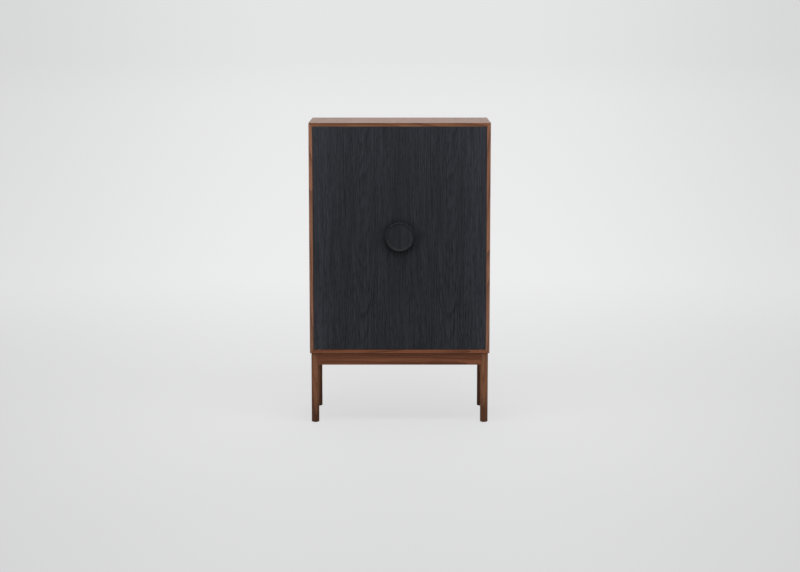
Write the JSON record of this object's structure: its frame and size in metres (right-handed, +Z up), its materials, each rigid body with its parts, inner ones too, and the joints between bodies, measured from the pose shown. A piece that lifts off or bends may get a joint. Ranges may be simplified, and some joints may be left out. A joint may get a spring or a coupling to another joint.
{
  "type": "highboard",
  "caption": "Tall cabinet: mitred walnut case on a base of round legs, with inset dark stained doors that swing on pivot hinges, share a split disc pull and hide shelves.",
  "frame": {"origin": "on the floor, in the middle of the whole footprint with the handle counted in", "axes": "+X to the right seen from the front, +Y from the front to the back, +Z up"},
  "size_m": [0.8, 0.422, 1.34],
  "materials": {
    "walnut": "oiled, satin",
    "stained_oak": "blue-black stain under matt lacquer",
    "plywood": "raw",
    "brass": "satin",
    "steel": "zinc plated",
    "nylon": "moulded",
    "dark_plastic": "moulded"
  },
  "bodies": {
    "case": {"back_panel": "walnut", "back_panel_screws": "steel", "case_bottom": "walnut", "case_left_side": "walnut", "case_right_side": "walnut", "case_top": "walnut", "catch_screws": "steel", "foot_glide_front_left": "nylon", "foot_glide_front_right": "nylon", "foot_glide_rear_left": "nylon", "foot_glide_rear_right": "nylon", "frame_screws": "steel", "front_apron": "walnut", "hinge_case_screws": "steel", "hinge_pins": "brass", "left_catch": "dark_plastic", "left_catch_magnet": "steel", "left_lower_hinge_case_leaf": "brass", "left_lower_hinge_washer": "nylon", "left_rail": "walnut", "left_upper_hinge_case_leaf": "brass", "leg_front_left": "walnut", "leg_front_right": "walnut", "leg_rear_left": "walnut", "leg_rear_right": "walnut", "mitre_tongue_lower_left": "plywood", "mitre_tongue_lower_right": "plywood", "mitre_tongue_upper_left": "plywood", "mitre_tongue_upper_right": "plywood", "rear_apron": "walnut", "right_catch": "dark_plastic", "right_catch_magnet": "steel", "right_lower_hinge_case_leaf": "brass", "right_lower_hinge_washer": "nylon", "right_rail": "walnut", "right_upper_hinge_case_leaf": "brass", "shelf_lower": "walnut", "shelf_middle": "walnut", "shelf_pins": "brass", "shelf_upper": "walnut"},
    "left_door": {"left_door": "stained_oak", "left_handle": "stained_oak", "left_handle_screws": "steel", "left_hinge_door_screws": "steel", "left_lower_hinge_door_leaf": "brass", "left_strike_plate": "steel", "left_strike_screws": "steel", "left_upper_hinge_door_leaf": "brass", "left_upper_hinge_washer": "nylon"},
    "right_door": {"right_door": "stained_oak", "right_handle": "stained_oak", "right_handle_screws": "steel", "right_hinge_door_screws": "steel", "right_lower_hinge_door_leaf": "brass", "right_strike_plate": "steel", "right_strike_screws": "steel", "right_upper_hinge_door_leaf": "brass", "right_upper_hinge_washer": "nylon"}
  },
  "joints": [
    {"name": "left_door_swing", "type": "hinge", "parent": "case", "child": "left_door", "pos_m": [-0.3605, -0.182, 0.8275], "axis": [0, 0, -1], "range_deg": [0, 110]},
    {"name": "right_door_swing", "type": "hinge", "parent": "case", "child": "right_door", "pos_m": [0.3605, -0.182, 0.8275], "axis": [0, 0, 1], "range_deg": [0, 110]}
  ]
}
